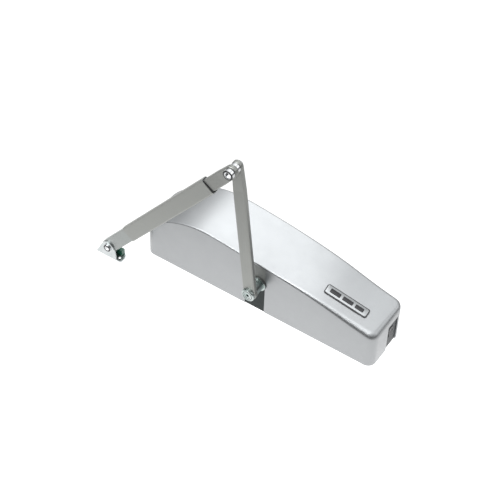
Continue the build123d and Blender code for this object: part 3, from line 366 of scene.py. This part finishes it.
def mark_edges(bm):
    """Smooth faces, apart from the sharp edges between them."""
    for face in bm.faces:
        face.smooth = True
    for edge in bm.edges:
        if len(edge.link_faces) == 2 and edge.calc_face_angle() > math.radians(SHARP_EDGE):
            edge.smooth = False


def add_object(bm, name):
    """Puts a bmesh into the scene as an object."""
    mesh = bpy.data.meshes.new(name)
    bm.to_mesh(mesh)
    bm.free()
    obj = bpy.data.objects.new(name, mesh)
    bpy.context.collection.objects.link(obj)
    return obj


def finish_mesh(bm, name, slot, body):
    """Turns a bmesh drawn in mm into a piece on its body, smooth apart from its sharp edges."""
    bmesh.ops.recalc_face_normals(bm, faces=bm.faces)
    mark_edges(bm)
    bmesh.ops.scale(bm, vec=(MM, MM, MM), verts=bm.verts)
    piece = add_object(bm, name)
    piece.data.materials.append(MATERIALS[slot])
    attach(piece, body)
    return piece


def bridge(bm, rings, closed=False):
    """Faces between neighbouring rings; a ring of one point makes a fan."""
    pairs = list(zip(rings, rings[1:])) + ([(rings[-1], rings[0])] if closed else [])
    for a, b in pairs:
        n = max(len(a), len(b))
        for k in range(n):
            loop = [a[k % len(a)], a[(k + 1) % n % len(a)], b[(k + 1) % n % len(b)], b[k % len(b)]]
            loop = [v for m, v in enumerate(loop) if v not in loop[:m]]
            if len(loop) > 2:
                bm.faces.new(loop)


TURNED_SEGMENTS = 96


def turned(name, profile, centre, slot, body, closed=False):
    """Turned piece about an axis along Y. Profile: (radius, y), or (half flats, y, 6) for a hexagon."""
    bm = bmesh.new()
    rings = []
    for radius, y, *sides in profile:
        ring = []
        for k in range(TURNED_SEGMENTS if radius > 0 else 1):
            a = 2 * math.pi * k / TURNED_SEGMENTS
            r = radius
            if sides:
                r = radius / math.cos((a % (2 * math.pi / sides[0])) - math.pi / sides[0])
            ring.append(bm.verts.new((centre[0] + r * math.cos(a), y, centre[1] + r * math.sin(a))))
        rings.append(ring)
    bridge(bm, rings, closed)
    return finish_mesh(bm, name, slot, body)


def rounded_rect(half_a, half_b, radius, steps=8):
    """Outline of a rounded rectangle, with that many steps round each corner."""
    pts = []
    for quarter, (sa, sb) in enumerate(((1, 1), (-1, 1), (-1, -1), (1, -1))):
        for k in range(steps + 1):
            a = math.radians(90 * (quarter + k / steps))
            pts.append((sa * (half_a - radius) + radius * math.cos(a),
                        sb * (half_b - radius) + radius * math.sin(a)))
    return pts


# cover: the CAD shell redrawn with a rim that rounds more and more towards the switch end
CASE_HALF_L, CASE_HALF_W, WALL, CASE_CORNER = 265.0, 55.0, 2.5, 17.0
SLOT_X0, SLOT_X1, SLOT_DROP = -25.0, 20.0, 4.2
SWITCH_Y0, SWITCH_Y1, SWITCH_TOP = 0.0, 36.0, 66.0
# a cutter's reach: into and out of a long side, both ways at an end, and its foot
CUT_IN, CUT_OUT, CUT_END, CUT_FOOT = 15.0, 5.0, 10.0, -1.0
CREST_STEP, CREST_LIMIT, CREST_Y = 10.0, 250.0, 40.0
RAY_FROM = 0.4      # metres up, clear of the whole part
RIM_X, RIM_RUN = 10.0, 235.0      # where the rim starts to grow, and over what length
RIM_FRONT, RIM_FRONT_GAIN, RIM_POWER = 2.6, 9.8, 1.4
RIM_REAR, RIM_REAR_GAIN = 3.4, 3.4
RIM_LEAST, RIM_TURN = 0.8, 10      # the inner skin's smallest radius, and degrees from ring to ring
TOP_SHARES = (0.03, 0.08, 0.16, 0.28, 0.42, 0.56, 0.7, 0.85, 1.0)      # from the rim to the spine


def surface_of(node):
    """A function that gives the height of a node's upper surface, in mm."""
    tree = BVHTree.FromObject(NODES[node], bpy.context.evaluated_depsgraph_get())
    world = NODES[node].matrix_world.copy()
    local = world.inverted()
    down = (local.to_3x3() @ Vector((0, 0, -1))).normalized()

    def height(x, y):
        hit = tree.ray_cast(local @ Vector((x * MM, y * MM, RAY_FROM)), down)[0]
        return (world @ hit).z / MM
    return height


bpy.context.view_layer.update()
cover_height = surface_of("cover")
crest_sides = [[cover_height(-CREST_LIMIT + k * CREST_STEP, y)
                for k in range(int(2 * CREST_LIMIT / CREST_STEP) + 1)] for y in (-CREST_Y, CREST_Y)]


def crest(x, y):
    """The bowed top: straight across the case, smooth along it, and straight past its last stations."""
    at = (x + CREST_LIMIT) / CREST_STEP
    ends = []
    for side in crest_sides:
        last = len(side) - 1
        if at <= 0:
            ends.append(side[0] + (side[1] - side[0]) * at)
        elif at >= last:
            ends.append(side[last] + (side[last] - side[last - 1]) * (at - last))
        else:
            k = int(at)
            t = at - k
            p1, p2 = side[k], side[k + 1]
            p0 = side[k - 1] if k > 0 else 2 * p1 - p2
            p3 = side[k + 2] if k + 2 <= last else 2 * p2 - p1
            ends.append(p1 + 0.5 * t * (p2 - p0 + t * (2 * p0 - 5 * p1 + 4 * p2 - p3
                                                       + t * (3 * (p1 - p2) + p3 - p0))))
    return ends[0] + (ends[1] - ends[0]) * (y + CREST_Y) / (2 * CREST_Y)


def case_outline(half_l, half_w, radius):
    """Stations round the case as (x, y, outward x, outward y), the same on both long sides."""
    long_steps, short_steps, corner_steps = 120, 18, 12
    flat_l, flat_w = half_l - radius, half_w - radius
    sides = (((-flat_l, -half_w), (flat_l, -half_w), (flat_l, -flat_w), long_steps),
             ((half_l, -flat_w), (half_l, flat_w), (flat_l, flat_w), short_steps),
             ((flat_l, half_w), (-flat_l, half_w), (-flat_l, flat_w), long_steps),
             ((-half_l, flat_w), (-half_l, -flat_w), (-flat_l, -flat_w), short_steps))
    stations = []
    for quarter, (start, end, corner, steps) in enumerate(sides):
        facing = math.radians(90 * quarter - 90)
        for k in range(steps):
            t = k / steps
            x, y = start[0] + (end[0] - start[0]) * t, start[1] + (end[1] - start[1]) * t
            stations.append((x, y, math.cos(facing), math.sin(facing)))
        for k in range(corner_steps):
            a = facing + math.radians(90 * k / corner_steps)
            x, y = corner[0] + radius * math.cos(a), corner[1] + radius * math.sin(a)
            stations.append((x, y, math.cos(a), math.sin(a)))
    return stations


def rim_radius(x, y):
    """Small along most of the case, larger towards the switch end, and most of all at the front."""
    grow = max(0.0, min(1.0, (x - RIM_X) / RIM_RUN))
    front, rear = RIM_FRONT + RIM_FRONT_GAIN * grow ** RIM_POWER, RIM_REAR + RIM_REAR_GAIN * grow
    share = max(0.0, min(1.0, (y + CASE_HALF_W) / (2 * CASE_HALF_W)))
    return front + (rear - front) * share


def case_skin(bm, inset):
    """A skin of the case from the foot up over the rim to the spine; returns the foot's ring."""
    half_l, half_w = CASE_HALF_L - inset, CASE_HALF_W - inset
    stations = case_outline(half_l, half_w, CASE_CORNER - inset)
    rings = [[bm.verts.new((x, y, 0.0)) for x, y, _, _ in stations]]
    for turn in range(0, 90 + RIM_TURN, RIM_TURN):
        a = math.radians(turn)
        ring = []
        for x, y, out_x, out_y in stations:
            r = max(RIM_LEAST, rim_radius(x, y) - inset)
            px, py = x - out_x * r * (1 - math.cos(a)), y - out_y * r * (1 - math.cos(a))
            ring.append(bm.verts.new((px, py, crest(px, py) - inset - r * (1 - math.sin(a)))))
        rings.append(ring)
    edge, spine = rings[-1], half_l - half_w
    for share in TOP_SHARES:
        ring = []
        for vert in edge:
            goal = max(-spine, min(spine, vert.co.x))
            px, py = vert.co.x + (goal - vert.co.x) * share, vert.co.y * (1 - share)
            ring.append(bm.verts.new((px, py, crest(px, py) - inset)))
        rings.append(ring)
    bridge(bm, rings)
    bmesh.ops.remove_doubles(bm, verts=rings[-1], dist=0.01)
    return rings[0]


def box_cutter(bm, x0, x1, y0, y1, top, steps):
    """A closed block whose top follows a height function in steps along X."""
    rings = []
    for k in range(steps + 1):
        x = x0 + (x1 - x0) * k / steps
        section = ((y0, CUT_FOOT), (y1, CUT_FOOT), (y1, top(x, y1)), (y0, top(x, y0)))
        rings.append([bm.verts.new((x, y, z)) for y, z in section])
    bridge(bm, rings)
    bm.faces.new(rings[0])
    bm.faces.new(rings[-1])


def cover_cutter():
    """The room cut out of the shell: the slot on both long sides and the window in both ends."""
    bm = bmesh.new()
    for side in (-1, 1):
        y0, y1 = sorted((side * (CASE_HALF_W - CUT_IN), side * (CASE_HALF_W + CUT_OUT)))
        box_cutter(bm, SLOT_X0, SLOT_X1, y0, y1, lambda x, y: crest(x, y) - SLOT_DROP, steps=9)
    for side in (-1, 1):
        x0, x1 = sorted((side * (CASE_HALF_L - CUT_END), side * (CASE_HALF_L + CUT_END)))
        box_cutter(bm, x0, x1, SWITCH_Y0, SWITCH_Y1, lambda x, y: SWITCH_TOP, steps=1)
    bmesh.ops.recalc_face_normals(bm, faces=bm.faces)
    bmesh.ops.scale(bm, vec=(MM, MM, MM), verts=bm.verts)
    return add_object(bm, "cover_cutter")


def make_cover():
    """An outer and an inner skin joined at the foot, with the slots and windows cut out."""
    bm = bmesh.new()
    bridge(bm, [case_skin(bm, 0.0), case_skin(bm, WALL)])
    shell = finish_mesh(bm, "cover_shell", "silver_case", "case_cover")
    cutter = cover_cutter()
    cut = shell.modifiers.new("openings", "BOOLEAN")
    cut.operation, cut.solver, cut.object = "DIFFERENCE", "EXACT", cutter
    bpy.context.view_layer.update()
    shell.data = bpy.data.meshes.new_from_object(shell.evaluated_get(bpy.context.evaluated_depsgraph_get()))
    shell.modifiers.clear()
    bm = bmesh.new()
    bm.from_mesh(shell.data)
    mark_edges(bm)
    bm.to_mesh(shell.data)
    bm.free()
    bpy.data.objects.remove(cutter)
    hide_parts("cover")


make_cover()

# elbow: dished head inside a black ring, which is painted shade of the dark recess round the head
elbow_pin = turned("elbow_pin_turned", [
    (0, -112.6), (4.6, -112.6, 6), (5.0, -113.2, 6), (5.0, -115.6, 6), (5.7, -116.1), (6.9, -116.75),
    (7.4, -116.75), (7.6, -116.4), (7.6, -115.7), (10.5, -115.7), (10.5, -108.6), (10.2, -108.3),
    (5.0, -108.3), (5.0, -78.5), (4.5, -78.0), (0, -78.0)], ELBOW, "bright_chrome", "main_link")
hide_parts("elbow_pin")
# painted shade: a black ring where the recess round the head shows dark
turned("elbow_dish_shade_ring", [
    (7.7, -115.8), (7.7, -116.6), (8.1, -117.0), (9.6, -117.0), (10.25, -116.75), (10.5, -116.2),
    (10.5, -115.8)], ELBOW, "black_gloss", "main_link", closed=True)

# foot: grooved pin head with a dark ring
foot_pin = turned("foot_pin_turned", [
    (0, -114.5), (2.4, -114.5, 6), (2.6, -114.8, 6), (2.6, -115.7, 6), (3.3, -116.0), (5.0, -115.9),
    (5.4, -115.5), (5.4, -114.9), (8.2, -114.9), (8.3, -115.2), (8.6, -115.2), (8.8, -114.9),
    (8.8, -112.9), (8.5, -112.6), (4.0, -112.6), (4.0, -85.4), (3.6, -85.0), (0, -85.0)],
    FOOT, "bright_chrome", "foot")
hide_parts("foot_pin")
turned("foot_pin_ring", [(5.5, -115.0), (5.5, -115.6), (5.9, -115.85), (7.4, -115.85), (8.0, -115.6),
                         (8.15, -115.0)], FOOT, "black_matte", "foot", closed=True)

# hub: black ring let into the clamp cap around the screw, painted shade of the groove there
turned("hub_cap_groove_shade", [(9.4, -95.15), (9.4, -95.5), (9.6, -95.6), (10.2, -95.6), (10.4, -95.5),
                        (10.4, -95.15)], SPINDLE, "black_matte", "main_link", closed=True)


TUBE_AT, TUBE_HALF_W, TUBE_Y0, TUBE_Y1 = 76.0, 17.3, -110.5, -95.5
TUBE_SLANT = -6.0      # degrees at the tube's mouth
BAR_HALF_W, BAR_Y0, BAR_Y1 = 14.0, -108.0, -98.0


def make_tube_wiper():
    """Dark lip round the mouth of the forearm tube, cut on the same slant."""
    bm = bmesh.new()
    angle = math.atan2(FOOT[1] - ELBOW[1], FOOT[0] - ELBOW[0])
    y_mid = (TUBE_Y0 + TUBE_Y1) / 2
    half_t, bar_half_t = (TUBE_Y1 - TUBE_Y0) / 2, (BAR_Y1 - BAR_Y0) / 2
    rings = []
    for half_w, half_d, radius, along in (
            (BAR_HALF_W + 0.3, bar_half_t + 0.3, 2.6, 0.4), (BAR_HALF_W + 0.3, bar_half_t + 0.3, 2.6, -0.4),
            (BAR_HALF_W + 0.7, bar_half_t + 0.6, 3.0, -0.7), (TUBE_HALF_W - 2.0, half_t - 1.2, 3.2, -0.7),
            (TUBE_HALF_W - 1.3, half_t - 0.8, 3.6, -0.3), (TUBE_HALF_W - 1.3, half_t - 0.8, 3.6, 0.4)):
        ring = []
        for b, c in rounded_rect(half_w, half_d, radius):
            s = TUBE_AT + along + b * math.tan(math.radians(TUBE_SLANT))
            x = ELBOW[0] + s * math.cos(angle) - b * math.sin(angle)
            z = ELBOW[1] + s * math.sin(angle) + b * math.cos(angle)
            ring.append(bm.verts.new((x, y_mid + c, z)))
        rings.append(ring)
    bridge(bm, rings, closed=True)
    finish_mesh(bm, "tube_wiper", "dark_iron", "forearm_outer")


make_tube_wiper()

# closing spring: wound wire on its seat, pressed together by the rack
SPRING_AT, SPRING_Z0, SPRING_Z1, SPRING_R, WIRE_R = (56.0, 13.0), 12.0, 62.0, 15.0, 2.4
SPRING_TURNS, SPRING_CLEAR = 5.5, 0.2


def make_closing_spring():
    """One wire coiled at an even pitch between its seat and the rack."""
    bm = bmesh.new()
    steps, around = 264, 14
    angles = [2 * math.pi * m / around for m in range(around)]
    low, high = SPRING_Z0 + WIRE_R + SPRING_CLEAR, SPRING_Z1 - WIRE_R - SPRING_CLEAR
    rise = (high - low) / (2 * math.pi * SPRING_TURNS * SPRING_R)
    rings = []
    for k in range(steps + 1):
        turn = 2 * math.pi * SPRING_TURNS * k / steps
        out = Vector((math.cos(turn), math.sin(turn), 0.0))
        centre = Vector((*SPRING_AT, low + (high - low) * k / steps)) + out * SPRING_R
        along = Vector((-out.y, out.x, rise)).normalized()
        up = out.cross(along)
        rings.append([bm.verts.new(centre + (out * math.cos(a) + up * math.sin(a)) * WIRE_R)
                      for a in angles])
    bridge(bm, rings)
    bm.faces.new(rings[0])
    bm.faces.new(rings[-1])
    spring = finish_mesh(bm, "closing_spring_coil", "spring_steel", "housing")
    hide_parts("closing_spring")
    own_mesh(spring)


make_closing_spring()


# badge: a plain plate in a dark frame, with three blank bars
PLATE_AT, PLATE_TURN = (180.0, -17.5), 3.0
PLATE_FLAT_L, PLATE_FLAT_W = 43.0, 8.0      # half sizes inside which the CAD plate's height is read
BARS = ((-25.0, 11.0), (2.0, 11.0), (27.0, 9.0))      # shift along the plate, and half length
plate_height = surface_of("name_plate")


def plate_point(a, b):
    """World x, y and the plate's height at a point given along and across the plate."""
    turn = math.radians(PLATE_TURN)
    on_flat = (max(-PLATE_FLAT_L, min(PLATE_FLAT_L, a)), max(-PLATE_FLAT_W, min(PLATE_FLAT_W, b)))
    points = []
    for u, v in ((a, b), on_flat):
        points.append((PLATE_AT[0] + u * math.cos(turn) - v * math.sin(turn),
                       PLATE_AT[1] + u * math.sin(turn) + v * math.cos(turn)))
    return points[0][0], points[0][1], plate_height(*points[1])


def pad(name, outlines, slot, shift=0.0):
    """Stacked outlines that follow the plate: (half length, half width, radius, height)."""
    bm = bmesh.new()
    rings = []
    for half_a, half_b, radius, lift in outlines:
        ring = []
        for a, b in rounded_rect(half_a, half_b, radius, steps=6):
            x, y, z = plate_point(a + shift, b)
            ring.append(bm.verts.new((x, y, z + lift)))
        rings.append(ring)
    bridge(bm, rings)
    for ring in (rings[0], rings[-1]):
        n = len(ring)
        for k in range(n // 2 - 1):
            bm.faces.new((ring[k], ring[k + 1], ring[n - 2 - k], ring[n - 1 - k]))
    return finish_mesh(bm, name, slot, "case_cover")


def make_badge():
    """The plate is let into the frame, and the bars stand on it."""
    pad("plate_frame", [(46.2, 11.2, 4.6, -1.9), (46.2, 11.2, 4.6, -1.1), (45.6, 10.6, 4.2, -0.7),
                        (43.8, 8.8, 3.2, -0.7)], "black_matte")
    plate = pad("plate_face", [(43.9, 8.9, 3.3, -1.5), (43.9, 8.9, 3.3, -0.2), (43.3, 8.3, 3.0, 0.0)],
                "mark_plate")
    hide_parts("name_plate")
    for index, (shift, half) in enumerate(BARS):
        pad("plate_bar_%d" % index, [(half, 4.4, 1.4, -0.1), (half, 4.4, 1.4, 0.6),
                                     (half - 0.5, 3.9, 1.2, 0.9)], "black_gloss", shift)


make_badge()


# ---------------------------------------------------------------- floor, light, camera
FLOOR_HALF, FLOOR_Z = 9.0, -0.0005      # metres


def make_floor():
    """The table, just under the wall face that the part lies on."""
    bm = bmesh.new()
    bmesh.ops.create_grid(bm, x_segments=8, y_segments=8, size=FLOOR_HALF)
    floor = add_object(bm, "floor")
    floor.location = (0.0, 0.0, FLOOR_Z)
    floor.data.materials.append(floor_material("floor"))


CAMERA_AT = Vector((1.017, -1.691, 2.239))
CAMERA_AZIMUTH, CAMERA_DOWN, CAMERA_ROLL = 32.3, 47.1, 2.2
CAMERA_LENS = 108.0      # mm, on a sensor 36 mm wide


def make_camera():
    """Looks the way the photograph does, from in front, to the right and above."""
    data = bpy.data.cameras.new("camera")
    data.lens = CAMERA_LENS
    data.sensor_width = 36.0
    data.clip_end = 50.0
    camera = bpy.data.objects.new("camera", data)
    az, down = math.radians(CAMERA_AZIMUTH), math.radians(CAMERA_DOWN)
    forward = Vector((-math.sin(az) * math.cos(down), math.cos(az) * math.cos(down), -math.sin(down)))
    turn = forward.to_track_quat("-Z", "Y").to_matrix() @ Matrix.Rotation(math.radians(CAMERA_ROLL), 3, "Z")
    camera.matrix_world = Matrix.Translation(CAMERA_AT) @ turn.to_4x4()
    bpy.context.collection.objects.link(camera)
    bpy.context.scene.camera = camera


SKY_CENTRE = (-0.20, 0.12, 0.97)
SKY_LEVELS = ((0.0, 0.05), (0.2, 0.08), (0.54, 0.22), (0.78, 0.36), (0.90, 0.54), (0.955, 0.95), (1.0, 1.0))
SKY_PEAK = 3.6
SKY_COLOUR = (0.985, 0.995, 1.0, 1.0)
FRONT_SHADE, FRONT_SHADE_SPAN = 0.8, (-0.8, -0.35)      # share lost, and the Y over which it fades
PANEL_LIGHTS = (((-0.37, -0.40, 0.84), 7.0), ((0.70, 0.46, 0.54), 1.2))      # direction, and peak
PANEL_EDGE = (0.92, 0.97)      # cosines at which a panel light starts, and is full


def closeness(tree, vector, direction):
    """The cosine between a unit vector and a fixed direction."""
    node = tree.nodes.new("ShaderNodeVectorMath")
    node.operation = "DOT_PRODUCT"
    tree.links.new(vector, node.inputs[0])
    node.inputs[1].default_value = Vector(direction).normalized()
    return node.outputs["Value"]


def make_world():
    """A soft bright cap overhead, darkest low on the camera's side, and two soft panel lights."""
    world = bpy.data.worlds.new("world")
    bpy.context.scene.world = world
    world.use_nodes = True
    tree = world.node_tree
    back = tree.nodes["Background"]
    sky = tree.nodes.new("ShaderNodeTexCoord").outputs["Generated"]
    cap = grey_ramp(tree, closeness(tree, sky, SKY_CENTRE), SKY_LEVELS)
    split = tree.nodes.new("ShaderNodeSeparateXYZ")
    tree.links.new(sky, split.inputs["Vector"])
    side = remap(tree, split.outputs["Y"], 1.0 - FRONT_SHADE, 1.0, *FRONT_SHADE_SPAN)
    level = math_node(tree, "MULTIPLY", cap, side)
    level = math_node(tree, "MULTIPLY", level, SKY_PEAK)
    for direction, peak in PANEL_LIGHTS:
        glow = remap(tree, closeness(tree, sky, direction), 0.0, peak, *PANEL_EDGE)
        level = math_node(tree, "ADD", level, glow)
    # the sky is dark only in reflections and as light: seen directly it stays pale
    path = tree.nodes.new("ShaderNodeLightPath")
    tree.links.new(math_node(tree, "MAXIMUM", level, path.outputs["Is Camera Ray"]), back.inputs["Strength"])
    back.inputs["Color"].default_value = SKY_COLOUR


bpy.context.scene.view_settings.view_transform = "Standard"
make_floor()
make_world()
make_camera()
